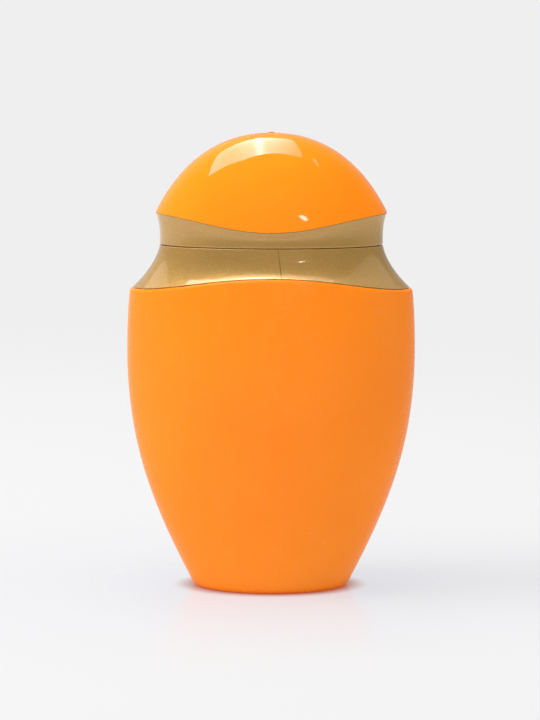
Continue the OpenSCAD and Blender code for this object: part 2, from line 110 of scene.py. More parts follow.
def lowest(node):
    """Lowest corner of a piece in the frame, in millimetres."""
    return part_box(node)[0] / MM


def highest(node):
    """Highest corner of a piece in the frame, in millimetres."""
    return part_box(node)[1] / MM


PARTING_GAP = 0.3
EDGE_GAP = 0.2
SEEN_PARTING = 0.1
SEEN_EDGE = 0.08
GATE_HEIGHT = 0.25
DOME_DIP = 4.6
DIP_REACH = 36
COLLAR_ARCH = 4.1
ARCH_POWER = 3.5

*bottle_oval, land_z = highest("bottle")
*collar_oval, upstand_top_z = highest("shoulder_collar")
*dome_oval, gate_top_z = highest("cap_dome")
top_z = gate_top_z - GATE_HEIGHT
dome_edge_z = lowest("cap_dome").z + DOME_DIP
seam_z = lowest("cap_skirt").z - PARTING_GAP
edge_z = lowest("shoulder_collar").z - EDGE_GAP
print(f"height {top_z:.1f}, parting line at {seam_z:.1f} mm")
print(f"bottle {2 * bottle_oval[0]:.1f} x {2 * bottle_oval[1]:.1f} mm")

# %% [markdown]
# ## Curves of the shells
#
# Each shell is an oval whose half width, half depth and height change together from its lowest edge to its highest. A
# long list of traced points could hold such a side, but no one could change it. One cubic Bezier curve holds it with
# four points, and each point is a triple: half width, half depth and height.
#
# Two of the edges aren't level. The collar's lower edge is level at the ends and rises in a bow in the middle of the
# wide faces, and the dome's edge dips there in a wave. A station on a curve therefore also says how much of that arch
# and of that dip it takes, from 0 to 1. The dip fades softly along the curve, the arch at full speed from its edge on.

# %% Stations along a curve
from collections import namedtuple

Station = namedtuple("Station", "a b z arch dip", defaults=(0, 0))


def smooth(t):
    """A soft step from 0 to 1."""
    return t * t * (3 - 2 * t)


def early(t):
    """A step from 0 to 1 that has its speed at the start and ends softly."""
    return t * (2 - t)


def blend(one, other, t):
    """The station a share t of the way from one to the other."""
    return Station(*(p + (q - p) * t for p, q in zip(one, other)))


def bezier(curve, t):
    """Half width, half depth and height on a cubic Bezier curve."""
    shares = ((1 - t) ** 3, 3 * t * (1 - t) ** 2, 3 * t * t * (1 - t), t**3)
    return [sum(share * point[axis] for share, point in zip(shares, curve)) for axis in range(3)]


def between(ends, t):
    """The value a share t of the way from the first end to the second."""
    return ends[0] + (ends[1] - ends[0]) * t


def inwards(oval, by):
    """An oval, as its half width and half depth, made smaller by a wall or a gap."""
    return oval[0] - by, oval[1] - by


def part_way(one, other, share):
    """The oval a share of the way from one to the other."""
    return tuple(between(ends, share) for ends in zip(one, other))


def along(curve, steps, arch=(0, 0), dip=(0, 0), inset=0, drop=(0, 0), start=0, ease=smooth):
    """Stations on a curve from share start to its end, moved inwards by inset and down by drop."""
    stations = []
    for step in range(steps + 1):
        t = start + (1 - start) * step / steps
        a, b, z = bezier(curve, t)
        shares = between(arch, ease(t)), between(dip, ease(t))
        stations.append(Station(max(a - inset, 0), max(b - inset, 0), z - between(drop, t), *shares))
    return stations


def gap(one, other):
    """Distance between two stations in the plane of the wide half of the profile."""
    return math.hypot(one.a - other.a, one.z - other.z)


ROUND_STEPS = 5
MOST_OF_SIDE = 0.9


def corner(before, at, after, radius, steps=ROUND_STEPS):
    """A sharp station rounded off: a short curve that starts and ends at radius from it."""
    first = blend(at, before, min(radius / gap(at, before), MOST_OF_SIDE))
    last = blend(at, after, min(radius / gap(at, after), MOST_OF_SIDE))
    return [blend(blend(first, at, t), blend(at, last, t), t) for t in (step / steps for step in range(steps + 1))]


def rounded(stations, closed=False):
    """The stations with each one that is given as (station, radius) rounded off."""
    plain = [s[0] if isinstance(s[0], Station) else s for s in stations]
    result = []
    for place, entry in enumerate(stations):
        if isinstance(entry[0], Station):
            after = plain[(place + 1) % len(plain)] if closed or place + 1 < len(plain) else plain[place]
            result += corner(plain[place - 1], entry[0], after, entry[1])
        else:
            result.append(entry)
    return result


print(f"a quarter along a curve the soft step is {smooth(0.25):.2f}, the early one {early(0.25):.2f}")

# %% [markdown]
# How far an edge rises or dips depends on the angle round the oval. The arch is a power of the sine, level at the ends
# and steep in the middle. The dip is one wave of a cosine over the width.

# %% Arch and dip round the oval
def arch_at(angle):
    """How far the collar's edge rises at an angle round the oval: a bow that dies away at the ends."""
    return COLLAR_ARCH * abs(math.sin(angle)) ** ARCH_POWER


def dip_at(angle):
    """How far the dome's edge dips at an angle round the oval: a cosine wave."""
    return DOME_DIP * (1 + math.cos(math.pi * dome_oval[0] * math.cos(angle) / DIP_REACH)) / 2


middle = math.pi / 2
print(f"in the middle the arch is {arch_at(middle):.2f} mm and the dip {dip_at(middle):.2f} mm")
print(f"at the ends the arch is {arch_at(0):.2f} mm and the dip {dip_at(0):.2f} mm")

# %% [markdown]
# ## From a profile to an oval shell
#
# An oval shell could be lofted ring by ring. It is simpler to let the spin operator turn the profile round the axis,
# which gives a round shell with clean quads, and then to press that shell into its oval: each vertex is moved towards
# the wide plane by its own ratio of depth to width, and up or down by its share of arch and dip. The ratio and the two
# shares are float layers, because the spin operator copies a vertex's layers to every copy that it makes.

# %% Spin a profile and press it oval
import bmesh
import bpy

SPIN_STEPS = 160
MERGE_DISTANCE = 0.0005
CREASE = 40

scene = bpy.context.scene


def spun(stations, closed=False):
    """A bmesh, in millimetres, of the shell that the stations give when they go round the oval."""
    shell = bmesh.new()
    ratio, arch, dip = (shell.verts.layers.float.new(name) for name in ("ratio", "arch", "dip"))
    profile = []
    for station in stations:
        vertex = shell.verts.new((station.a, 0, station.z))
        vertex[ratio] = station.b / station.a if station.a > 0 else 1
        vertex[arch] = station.arch
        vertex[dip] = station.dip
        profile.append(vertex)
    for one, other in zip(profile, profile[1:] + profile[:1] if closed else profile[1:]):
        shell.edges.new((one, other))
    turned = {"geom": shell.verts[:] + shell.edges[:], "axis": (0, 0, 1), "cent": (0, 0, 0)}
    bmesh.ops.spin(shell, **turned, angle=math.tau, steps=SPIN_STEPS, use_merge=True)
    for vertex in shell.verts:
        angle = math.atan2(vertex.co.y, vertex.co.x)
        vertex.co.z += vertex[arch] * arch_at(angle) - vertex[dip] * dip_at(angle)
        vertex.co.y *= vertex[ratio]
    bmesh.ops.remove_doubles(shell, verts=shell.verts[:], dist=MERGE_DISTANCE)
    bmesh.ops.recalc_face_normals(shell, faces=shell.faces[:])
    for layer in (ratio, arch, dip):
        shell.verts.layers.float.remove(layer)
    return shell


def mesh_from(shell, name):
    """A mesh with all that a bmesh holds, which is freed."""
    mesh = bpy.data.meshes.new(name)
    shell.to_mesh(mesh)
    shell.free()
    return mesh


def placed(name, data):
    """A new object at the origin that holds a mesh, a light or a camera."""
    made = bpy.data.objects.new(name, data)
    scene.collection.objects.link(made)
    return made


def piece(shell, name, body, stands_for=()):
    """The finished object of a bmesh in millimetres, on its body, with the frame pieces that it stands for hidden."""
    bmesh.ops.scale(shell, vec=(MM, MM, MM), verts=shell.verts[:])
    open_edges = sum(len(edge.link_faces) != 2 for edge in shell.edges)
    mesh = mesh_from(shell, name)
    mesh.shade_smooth()
    mesh.set_sharp_from_angle(angle=math.radians(CREASE))
    made = placed(name, mesh)
    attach(made, body)
    if stands_for:
        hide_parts(*stands_for)
    print(f"{name}: {len(mesh.polygons)} faces, {open_edges} open edges")
    return made


print(f"one step of the spin turns by {360 / SPIN_STEPS} degrees")

# %% [markdown]
# ## Bottle
#
# The real bottle is blow-moulded: a hot tube of polyethylene is caught between two mould halves and blown against
# them. That gives one closed wall of even thickness, a base that is pushed up so that it stands on a ring, and a
# rounded heel. The tube's pinched end leaves a straight ridge across the base.
#
# The whole wall, outside and inside, is one profile from the middle of the base, round the outside, over the mouth
# and down the inside to the middle of the floor. Both ends lie on the axis, so the spun shell closes itself.

# %% Profile of the bottle
BASE = (22.6, 11.75)
FOOT = (19.8, 10.3)
FOOT_LAND = 2.4
FOOT_SLOPE_A, FOOT_SLOPE_B = 2, 1
HEEL_HEIGHT = 2
PUSH_UP = 1.5
BOTTLE_WALL = 1.2
BELLY_DROP = 18.5
SHOULDER_HEIGHT = 1.6
SHOULDER_STEP = 0.9
LEDGE_PAST = 1.3
DECK_WIDTH = 2.4
COLLAR_WALL = 1.3
NECK_HEIGHT = 11
NECK_WALL = 1.6
BEAD_OUT, BEAD_HEIGHT, BEAD_DROP = 0.8, 1.6, 3.8
BEAD_LOW, BEAD_HIGH = 0.8, 0.5

belly_z = edge_z - BELLY_DROP
shoulder_oval = inwards(collar_oval, -SHOULDER_STEP)
shoulder_z = edge_z - SHOULDER_HEIGHT + EDGE_GAP
deck_z = land_z - NECK_HEIGHT
neck_r = highest("neck_gasket").x
mouth_r = neck_r - NECK_WALL
deck_r = neck_r + DECK_WIDTH

base = (*BASE, HEEL_HEIGHT)
belly = (*bottle_oval, belly_z)
shoulder = (*shoulder_oval, shoulder_z)

heel_curve = (
    (*FOOT, 0),
    (*part_way(FOOT, BASE, 0.65), 0),
    (BASE[0] - 0.5, BASE[1] - 0.26, HEEL_HEIGHT / 2),
    base,
)
lower_curve = (
    base,
    (*part_way(BASE, bottle_oval, 0.59), HEEL_HEIGHT + belly_z * 0.31),
    (*bottle_oval, belly_z * 0.606),
    belly,
)
upper_curve = (
    belly,
    (*bottle_oval, between((belly_z, shoulder_z), 0.42)),
    (shoulder_oval[0] + 0.45, shoulder_oval[1] + 0.25, between((belly_z, shoulder_z), 0.78)),
    shoulder,
)
round_curve = (
    shoulder,
    (*inwards(shoulder_oval, 0.1), edge_z - 0.4),
    (*inwards(collar_oval, -0.35), edge_z),
    (*inwards(collar_oval, 0.2), edge_z),
)


def hidden_shoulder(inset, steps=6):
    """The sloping shoulder under the collar, from a ledge below its edge up to the round deck."""
    low = Station(*inwards(collar_oval, COLLAR_WALL + LEDGE_PAST + inset), edge_z - inset, 1)
    high = Station(deck_r - inset, deck_r - inset, deck_z - inset, 0)
    return [blend(low, high, step / steps) for step in range(steps + 1)]


def neck_profile():
    """The neck from the deck over its bead to the rounded rim of the mouth and down the inside."""
    bead_z = land_z - BEAD_DROP
    bead_r = neck_r + BEAD_OUT

    def at(r, z):
        return Station(r, r, z)

    return [
        (at(neck_r, deck_z), 1),
        at(neck_r, bead_z - BEAD_HEIGHT),
        (at(bead_r, bead_z - BEAD_HEIGHT * BEAD_LOW), 0.2),
        (at(bead_r, bead_z - BEAD_HEIGHT * BEAD_HIGH), 0.3),
        at(neck_r, bead_z),
        (at(neck_r, land_z), 0.4),
        (at(mouth_r, land_z), 0.4),
        at(mouth_r, deck_z),
    ]


def bottle_profile():
    """Outside from the middle of the base up, over the mouth, and down the inside to the floor."""
    ring_a, ring_b = inwards(FOOT, FOOT_LAND)
    inner_deck = hidden_shoulder(BOTTLE_WALL)[::-1]
    inner_side = along(upper_curve, 10, arch=(0, 1), inset=BOTTLE_WALL, drop=(0, BOTTLE_WALL))[::-1]
    inner_body = along(lower_curve, 24, inset=BOTTLE_WALL, drop=(-BOTTLE_WALL, 0))[::-1]
    outline = [
        Station(0, 0, PUSH_UP),
        (Station(ring_a - FOOT_SLOPE_A, ring_b - FOOT_SLOPE_B, PUSH_UP), 1.5),
        (Station(ring_a, ring_b, 0), 0.5),
        *along(heel_curve, 10),
        *along(lower_curve, 44)[1:],
        *along(upper_curve, 20, arch=(0, 1))[1:],
        *(s._replace(arch=1) for s in along(round_curve, 12)[1:]),
        *hidden_shoulder(0),
        *neck_profile(),
        *inner_deck,
        *inner_side[1:],
        *inner_body[1:],
        Station(0, 0, PUSH_UP + BOTTLE_WALL),
    ]
    return rounded(outline)


print(f"bottle: {len(bottle_profile())} stations, widest at {belly_z:.1f} mm, mouth {2 * mouth_r:.1f} mm")

# %% [markdown]
# The ridge across the base is where the mould pinched the hot tube shut. It is a cube that is scaled, rounded and sunk
# into the base, because a straight weld would spoil the clean rings of a spun shell.

# %% Bottle shell and its pinch-off ridge
bottle = piece(spun(bottle_profile()), "bottle_shell", "bottle_body", ["bottle"])

RIDGE_LENGTH, RIDGE_WIDTH, RIDGE_HEIGHT = 25, 0.9, 0.7
RIDGE_SINK = 0.3
RIDGE_ROUND = 0.25


def rounded_off(shell, edges, width, segments, clamp=True):
    """Bevels edges of a bmesh by a width in millimetres."""
    edging = {"affect": "EDGES", "segments": segments, "profile": 0.5, "material": -1}
    bmesh.ops.bevel(shell, geom=edges, offset=width, clamp_overlap=clamp, **edging)


def pinch_off_ridge():
    """The pinched weld across the base, a long low bar with rounded edges that is sunk into the base."""
    bar = bmesh.new()
    bmesh.ops.create_cube(bar, size=1)
    tall = RIDGE_HEIGHT + RIDGE_SINK
    bmesh.ops.scale(bar, vec=(RIDGE_LENGTH, RIDGE_WIDTH, tall), verts=bar.verts[:])
    bmesh.ops.translate(bar, vec=(0, 0, PUSH_UP - RIDGE_HEIGHT + tall / 2), verts=bar.verts[:])
    rounded_off(bar, bar.edges[:], RIDGE_ROUND, 3)
    return bar


ridge = piece(pinch_off_ridge(), "pinch_off_ridge", "bottle_body")

# %% [markdown]
# ## Collar
#
# The gold collar is one injection-moulded piece: a flared skin that sits on the bottle's shoulder, a short upstand
# that the cap slides over, and a web with a round hole that the pump's closure clamps to the neck.
#
# The section through all of that is one closed line, so it is spun as a closed profile. Every corner is rounded off
# by a few tenths of a millimetre, as a mould is, because the bright hairlines along the parting line and along the
# lower edge are reflections in just those small rounds. In a profile, a pair of a station and a radius marks a corner.

# %% Profile of the collar
COLLAR_HEIGHT = seam_z - edge_z
CUP_DROP = 4
WEB_THICKNESS = 1.4
UPSTAND_WALL = 1.3
SKIRT_WALL = 1.4
LINER_WALL = 0.9
CAP_FIT = 0.08
WEB_CLEARANCE = 0.15
DOME_FLARE = 1.1

seam_oval = inwards(dome_oval, DOME_FLARE)
skirt_in = inwards(seam_oval, SKIRT_WALL)
liner_in = inwards(skirt_in, LINER_WALL)
upstand = inwards(liner_in, CAP_FIT)
web_top_z = seam_z - CUP_DROP
web_hole_r = neck_r + BEAD_OUT + WEB_CLEARANCE

collar_curve = (
    (*collar_oval, edge_z + SEEN_EDGE),
    (*part_way(seam_oval, collar_oval, 0.45), edge_z + COLLAR_HEIGHT * 0.34),
    (*part_way(seam_oval, collar_oval, 0.08), edge_z + COLLAR_HEIGHT * 0.69),
    (*seam_oval, seam_z),
)


def collar_profile():
    """Up the outside of the skin, over the upstand, round the web and down the inside of the skin."""
    outside = along(collar_curve, 30, arch=(1, 0), ease=early)
    inside = along(collar_curve, 16, arch=(1, 0), inset=COLLAR_WALL, drop=(0, COLLAR_WALL), ease=early)
    upstand_in = inwards(upstand, UPSTAND_WALL)
    outline = [
        (outside[0], 0.4),
        *outside[1:-1],
        (outside[-1], 0.45),
        (Station(*upstand, seam_z), 0.2),
        (Station(*upstand, upstand_top_z), 0.5),
        (Station(*upstand_in, upstand_top_z), 0.5),
        (Station(*upstand_in, web_top_z), 0.6),
        (Station(web_hole_r, web_hole_r, web_top_z), 0.3),
        (Station(web_hole_r, web_hole_r, web_top_z - WEB_THICKNESS), 0.3),
        Station(*upstand, web_top_z - WEB_THICKNESS),
        Station(*upstand, inside[-1].z - 0.3),
        (inside[-1], 0.2),
        *inside[-2:0:-1],
        (inside[0]._replace(z=outside[0].z), 0.3),
    ]
    return rounded(outline, closed=True)


shell = spun(collar_profile(), closed=True)
collar = piece(shell, "collar_shell", "bottle_body", ["shoulder_collar"])

# %% [markdown]
# ## Cap
#
# The cap is made of three mouldings. The gold skirt is a concave ring, the dome is a glossy orange shell that is
# pressed onto it, and inside them sits a plain liner that grips the collar's upstand.
#
# Skirt and liner are closed sections. The dome's profile runs from its top down the outside, round its edge and up
# the inside again, and both ends lie on the axis.

# %% Profiles of the cap
DOME_LINE = 0.05
DOME_WALL = 1.5
LINER_LIFT, LINER_HEIGHT = 0.2, 5.6
LEAST_RING = 0.6
INNER_START = 0.02

dome_edge_h = dome_edge_z - seam_z
skirt_curve = (
    (*seam_oval, seam_z + SEEN_PARTING),
    (*inwards(seam_oval, 0.15), seam_z + dome_edge_h * 0.4),
    (*part_way(seam_oval, dome_oval, 0.05), seam_z + dome_edge_h * 0.75),
    (*inwards(dome_oval, 0.1), dome_edge_z - DOME_LINE),
)
dome_curve = (
    (*dome_oval, dome_edge_z),
    (dome_oval[0] * 0.843, dome_oval[1] * 0.92, between((dome_edge_z, top_z), 0.463)),
    (dome_oval[0] * 0.55, dome_oval[1] * 0.66, top_z),
    (0, 0, top_z),
)


def skirt_profile():
    """The concave ring, with a lip at the parting line and a narrow rebate under the dome's edge."""
    outside = along(skirt_curve, 20, dip=(0, 1))
    outline = [
        (outside[0], 0.5),
        *outside[1:-1],
        (outside[-1], 0.12),
        (Station(*skirt_in, outside[-1].z, 0, 1), 0.1),
        (Station(*skirt_in, outside[0].z), 0.2),
    ]
    return rounded(outline, closed=True)


def dome_profile():
    """From the top down the outside, round the edge and up the inside, without rings too narrow for their wall."""
    outside = along(dome_curve, 48, dip=(1, 0))[::-1]
    inside = along(dome_curve, 24, dip=(1, 0), inset=DOME_WALL, drop=(0, DOME_WALL), start=INNER_START)
    edge_in = Station(*inwards(dome_oval, DOME_WALL), dome_edge_z, 0, 1)
    apex = inside[-1]._replace(a=0, b=0)
    clear = [station for station in inside[1:-1] if station.b > LEAST_RING]
    return rounded([*outside[:-1], (outside[-1], 0.22), (edge_in, 0.2), *clear, apex])


def liner_profile():
    """The plain ring inside the cap, with a lead-in at its lower edge."""
    low_z = seam_z + PARTING_GAP + LINER_LIFT
    high_z = seam_z + PARTING_GAP + LINER_HEIGHT
    outline = [
        (Station(*skirt_in, low_z), 0.2),
        (Station(*skirt_in, high_z), 0.2),
        (Station(*liner_in, high_z), 0.2),
        (Station(*liner_in, low_z), 0.4),
    ]
    return rounded(outline, closed=True)


print("stations:", [len(profile()) for profile in (skirt_profile, dome_profile, liner_profile)])

# %% [markdown]
# The three profiles become three shells on the cap's body. The gate mark, where the plastic entered the mould, is a
# tiny bevelled disc on top: it starts as a circle that is filled, extruded and bevelled.

# %% Cap shells
dome = piece(spun(dome_profile()), "dome_shell", "cap", ["cap_dome"])
skirt = piece(spun(skirt_profile(), closed=True), "skirt_shell", "cap", ["cap_skirt"])
liner = piece(spun(liner_profile(), closed=True), "liner_ring", "cap", ["cap_liner"])

GATE_RADIUS, GATE_SIDES = 0.8, 32
GATE_SINK = 0.15
GATE_SHOWN = 0.8
GATE_ROUND = 0.12


def gate_mark():
    """The gate mark: a small disc with a rounded rim."""
    disc = bmesh.new()
    bmesh.ops.create_circle(disc, cap_ends=True, segments=GATE_SIDES, radius=GATE_RADIUS)
    bmesh.ops.translate(disc, vec=(0, 0, top_z - GATE_SINK), verts=disc.verts[:])
    grown = bmesh.ops.extrude_face_region(disc, geom=disc.faces[:], use_keep_orig=True)["geom"]
    raised = [part for part in grown if isinstance(part, bmesh.types.BMVert)]
    bmesh.ops.translate(disc, vec=(0, 0, GATE_SINK + GATE_HEIGHT * GATE_SHOWN), verts=raised)
    rim = [edge for edge in disc.edges if all(v in raised for v in edge.verts)]
    rounded_off(disc, rim, GATE_ROUND, 3, clamp=False)
    bmesh.ops.recalc_face_normals(disc, faces=disc.faces[:])
    return disc


gate = piece(gate_mark(), "gate_mark", "cap")

# %% [markdown]
# ## Pump under the cap
#
# The pump's pieces are white and natural polypropylene mouldings. The frame already has their exact shapes, but with
# edges as sharp as a knife, which no moulding has and no highlight likes.
#
# They could be modelled again, but their shape is right. So a copy of each frame mesh is welded, its flat faces are
# dissolved back to whole ones, and its sharp edges are bevelled.

# %% Soften a frame piece
FLAT_ANGLE = 0.5


def softened(node, name, width, sharp=35):
    """A copy of a frame piece with its sharp edges rounded by width, in millimetres."""
    source = frame["nodes"][node]
    copy = bmesh.new()
    copy.from_mesh(source.data)
    bmesh.ops.scale(copy, vec=(1 / MM, 1 / MM, 1 / MM), verts=copy.verts[:])
    bmesh.ops.remove_doubles(copy, verts=copy.verts[:], dist=MERGE_DISTANCE)
    bmesh.ops.dissolve_limit(copy, angle_limit=math.radians(FLAT_ANGLE), verts=copy.verts[:], edges=copy.edges[:])
    edges = [edge for edge in copy.edges if edge.calc_face_angle(0) > math.radians(sharp)]
    rounded_off(copy, edges, width, 2)
    return piece(copy, name, source["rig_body"], [node])


closure = softened("pump_closure", "closure_cap", 0.12)
guide = softened("stem_guide", "stem_guide_ring", 0.12)
head = softened("pump_head", "press_head", 0.15)
insert = softened("nozzle_insert", "nozzle_ring", 0.08)

# %% [markdown]
# ## Return spring
#
# A coil of stainless wire stands between its seat and the stem's tip, and lifts the head again. Spin winds it: it
# turns one round section of wire about the axis and lifts it a little at each step.

# %% Wind the return spring
from mathutils import Matrix

WIRE_D, COIL_TURNS, STROKE = 0.6, 5, 4
WIRE_SIDES, WIND_STEPS = 12, 40


def wound_spring():
    """The return spring as it stands at rest; the real one shortens by the stroke as the pump is pressed."""
    low, high = lowest("return_spring").z, highest("return_spring").z
    wire_r = WIRE_D / 2
    steps = COIL_TURNS * WIND_STEPS
    shell = bmesh.new()
    stand = Matrix.Rotation(math.pi / 2, 4, "X")
    start = Matrix.Translation((highest("return_spring").x - wire_r, 0, low + wire_r)) @ stand
    bmesh.ops.create_circle(shell, cap_ends=False, segments=WIRE_SIDES, radius=wire_r, matrix=start)
    bmesh.ops.spin(
        shell,
        geom=shell.verts[:] + shell.edges[:],
        cent=(0, 0, 0),
        axis=(0, 0, 1),
        dvec=(0, 0, (high - low - WIRE_D) / steps),
        angle=math.tau * COIL_TURNS,
        steps=steps,
    )
    bmesh.ops.holes_fill(shell, edges=shell.edges[:], sides=WIRE_SIDES)
    bmesh.ops.recalc_face_normals(shell, faces=shell.faces[:])
    made = piece(shell, "spring_coil", frame["nodes"]["return_spring"]["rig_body"], ["return_spring"])
    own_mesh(made)
    return made


coil = wound_spring()

# %% [markdown]
# ## Shared effects
#
# Every moulded surface here has the same few kinds of detail. The effects are node groups with their own inputs, so
# that each material can use them at its own scale and strength. A group gives out masks, heights or a normal. The
# shader stays in the material. The small functions add one node each, so that a material reads like a formula.

# %% Helpers for nodes
from functools import partial, reduce

FLOAT, VECTOR = "NodeSocketFloat", "NodeSocketVector"


def new_group(name, inputs, outputs):
    """An empty shader node group. An input without a default is a vector, the others are numbers."""
    group = bpy.data.node_groups.new(name, "ShaderNodeTree")
    for label, value in inputs.items():
        kind = VECTOR if value is None else FLOAT
        socket = group.interface.new_socket(name=label, in_out="INPUT", socket_type=kind)
        if value is not None:
            socket.default_value = value
    for label, kind in outputs.items():
        group.interface.new_socket(name=label, in_out="OUTPUT", socket_type=kind)
    return group, group.nodes.new("NodeGroupInput").outputs, group.nodes.new("NodeGroupOutput").inputs


def feed(socket, value):
    """Links a node's output to a socket, or sets a plain value on it."""
    if isinstance(value, bpy.types.NodeSocket):
        socket.id_data.links.new(value, socket)
    else:
        socket.default_value = value


def node(tree, kind, **settings):
    """A node of a kind, with its properties set and its inputs fed by name, or by place as in_0."""
    made = tree.nodes.new("ShaderNode" + kind)
    for key, value in settings.items():
        if hasattr(made, key):
            setattr(made, key, value)
        else:
            place = int(key[3:]) if key.startswith("in_") else key.replace("_", " ")
            feed(made.inputs[place], value)
    return made


def math_node(operation, first, second=None, clamp=False):
    """A Math node's result. One of the values comes from a node, and the new one is put in that node's tree."""
    linked = first if isinstance(first, bpy.types.NodeSocket) else second
    made = node(linked.id_data, "Math", operation=operation, use_clamp=clamp, in_0=first)
    if second is not None:
        feed(made.inputs[1], second)
    return made.outputs[0]


def added(*values):
    """The sum of several values."""
    return reduce(partial(math_node, "ADD"), values)


def times(*values):
    """The product of several values."""
    return reduce(partial(math_node, "MULTIPLY"), values)


def vector(operation, first, **inputs):
    """A Vector Math node's outputs."""
    return node(first.id_data, "VectorMath", operation=operation, in_0=first, **inputs).outputs


def axes(position):
    """The three coordinates of a position."""
    return node(position.id_data, "SeparateXYZ", in_0=position).outputs


def mixed(factor, one, other):
    """A colour between two colours."""
    return node(factor.id_data, "Mix", data_type="RGBA", in_0=factor, in_6=one, in_7=other).outputs[2]


def chosen(factor, one, other):
    """A number between two numbers."""
    return node(factor.id_data, "Mix", data_type="FLOAT", in_0=factor, in_2=one, in_3=other).outputs[0]


def noise(position, scale, detail=2.0, roughness=0.5):
    """A noise value from 0 to 1 at a scale in waves a metre."""
    made = node(position.id_data, "TexNoise", Vector=position, Scale=scale, Detail=detail, Roughness=roughness)
    return made.outputs["Fac"]


def ranged(value, low, high, to_low=0.0, to_high=1.0, smooth_step=False):
    """A value moved from one range to another."""
    kind = "SMOOTHSTEP" if smooth_step else "LINEAR"
    made = node(value.id_data, "MapRange", interpolation_type=kind, clamp=True, in_0=value)
    for place, number in enumerate((low, high, to_low, to_high), start=1):
        made.inputs[place].default_value = number
    return made.outputs[0]


NOISE_SPREAD = (0.3, 0.7)


def drift(position, scale, low=0.0, high=1.0, detail=2.0, roughness=0.5):
    """A noise whose usual values are spread from low to high."""
    return ranged(noise(position, scale, detail, roughness), *NOISE_SPREAD, low, high)

# %% [markdown]
# The first effect is the skin of a moulding. A polished mould still leaves a slow waviness of a few millimetres, and
# the plastic adds a fine grain. Both are heights in millimetres, so that one Bump node of distance 0.001 can use
# their sum.

# %% Moulded skin
def moulded_skin():
    """Height of a moulded surface: slow waves and fine grain."""
    inputs = {"Position": None, "Wave scale": 150.0, "Wave depth": 0.02, "Grain scale": 2500.0, "Grain depth": 0.002}
    group, given, result = new_group("moulded_skin", inputs, {"Height": FLOAT})
    waves = times(noise(given["Position"], given["Wave scale"]), given["Wave depth"])
    grain = times(noise(given["Position"], given["Grain scale"]), given["Grain depth"])
    feed(result["Height"], added(waves, grain))
    return group


moulded_skin_group = moulded_skin()

# %% [markdown]
# The second effect is what handling leaves: faint hairline scratches in a few directions, and wide dull patches where
# fingers held the bottle. A scratch is the thin line where a stretched noise passes its middle value, broken up by a
# second noise. Each material decides how much of these masks goes into its roughness and its colour.

# %% Handling marks
SCRATCH_TURNS, SCRATCH_STRETCH, SCRATCH_WIDTH = (0.5, 1.6, 2.7), 14, 0.004
BREAK_SCALE, BREAK_RANGE = 130.0, (0.55, 0.7)
PATCH_DETAIL, PATCH_ROUGHNESS, PATCH_RANGE = 4.0, 0.55, (0.42, 0.68)


def handling_marks():
    """Masks of hairline scratches and of dull patches."""
    inputs = {"Position": None, "Scratch scale": 60.0, "Patch scale": 45.0}
    group, given, result = new_group("handling_marks", inputs, {"Scratches": FLOAT, "Patches": FLOAT})
    lines = []
    for turn in SCRATCH_TURNS:
        stretched = (1, SCRATCH_STRETCH, 1)
        turned = node(group, "Mapping", Vector=given["Position"], Rotation=(turn, turn * 0.7, turn), Scale=stretched)
        bands = noise(turned.outputs[0], given["Scratch scale"], detail=1.0)
        off_middle = math_node("ABSOLUTE", math_node("SUBTRACT", bands, 0.5))
        lines.append(ranged(off_middle, 0.0, SCRATCH_WIDTH, 1, 0))
    broken = ranged(noise(given["Position"], BREAK_SCALE), *BREAK_RANGE)
    feed(result["Scratches"], times(reduce(partial(math_node, "MAXIMUM"), lines), broken))
    smears = noise(given["Position"], given["Patch scale"], PATCH_DETAIL, PATCH_ROUGHNESS)
    feed(result["Patches"], ranged(smears, *PATCH_RANGE, 0, 1, True))
    return group


handling_marks_group = handling_marks()

# %% [markdown]
# The third effect is the fine line that two mould halves leave where they meet. It lies in a plane, so it is a narrow
# peak over the distance from that plane, which each material feeds in as the offset.

# %% Mould line
def mould_line():
    """A narrow peak, 1 at offset 0 and 0 beyond the width."""
    group, given, result = new_group("mould_line", {"Offset": 0.0, "Width": 0.0002}, {"Line": FLOAT})
    share = math_node("DIVIDE", math_node("ABSOLUTE", given["Offset"]), given["Width"], clamp=True)
    feed(result["Line"], ranged(share, 0.0, 1.0, 1.0, 0.0, True))
    return group


mould_line_group = mould_line()

# %% [markdown]
# The fourth effect is pearl flake: mica platelets of about a fifth of a millimetre that lie nearly flat under the
# surface. A Voronoi texture gives each cell its own random colour, which is used as a small tilt of the normal. Most
# cells stay calm. The rare ones whose random value is high are tilted in full, and those are the ones that flash.

# %% Pearl flake
CALM = 0.3


def pearl_flake():
    """A normal that is tilted cell by cell, and a mask of the few cells that flash."""
    inputs = {"Position": None, "Scale": 8000.0, "Tilt": 0.3, "Rarity": 0.9}
    group, given, result = new_group("pearl_flake", inputs, {"Normal": VECTOR, "Flash": FLOAT})
    cells = node(group, "TexVoronoi", Vector=given["Position"], Scale=given["Scale"], Randomness=1.0)
    chance = node(group, "SeparateColor", in_0=cells.outputs["Color"]).outputs[0]
    flash = math_node("GREATER_THAN", chance, given["Rarity"])
    centred = vector("SUBTRACT", cells.outputs["Color"], in_1=(0.5, 0.5, 0.5))[0]
    steep = times(given["Tilt"], ranged(flash, 0.0, 1.0, CALM, 1.0))
    facing = node(group, "NewGeometry").outputs["Normal"]
    tilted = vector("ADD", facing, in_1=vector("SCALE", centred, Scale=steep)[0])[0]
    feed(result["Normal"], vector("NORMALIZE", tilted)[0])
    feed(result["Flash"], flash)
    return group


pearl_flake_group = pearl_flake()
print("effects:", [group.name for group in bpy.data.node_groups])

# %% [markdown]
# ## Materials
#
# A material's constants are set on the shader's own sockets. What varies over the surface comes from the effects. All
# patterns read Object coordinates, which are metres in the frame, so a scale of 1000 is one wave a millimetre.

